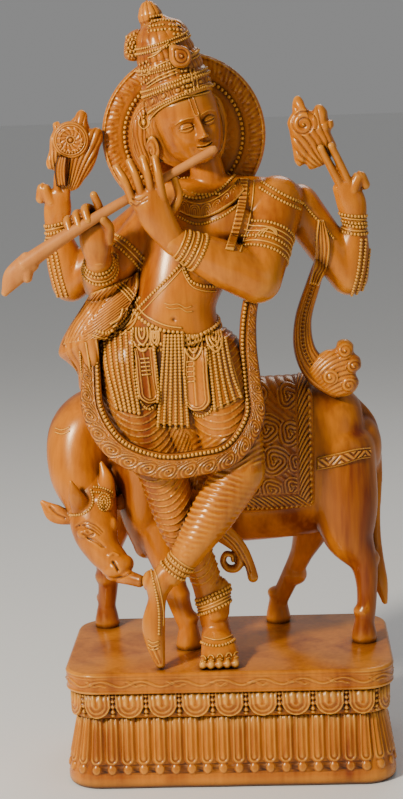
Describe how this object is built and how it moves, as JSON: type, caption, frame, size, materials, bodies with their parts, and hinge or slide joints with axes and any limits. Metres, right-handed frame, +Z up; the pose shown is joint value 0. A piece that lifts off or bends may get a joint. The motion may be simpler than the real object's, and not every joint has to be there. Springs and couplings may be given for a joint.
{
  "type": "krishna figure",
  "caption": "Carved wooden temple figure of a many-armed flute player, legs crossed, standing before a cow, with a round halo and a loose flute, on a lotus plinth.",
  "frame": {"origin": "centre of the plinth's underside", "axes": "+Z up along the figure's height, -Y towards the viewer, +X to the viewer's right, towards the cow's tail"},
  "size_m": [0.4317, 0.248, 0.8968],
  "materials": {
    "brown_wood": "carved, sanded and polished to a satin",
    "pale_wood": "smooth and nearly matt"
  },
  "bodies": {
    "root": {"carved_block": "brown_wood", "flute": "pale_wood"}
  },
  "joints": []
}
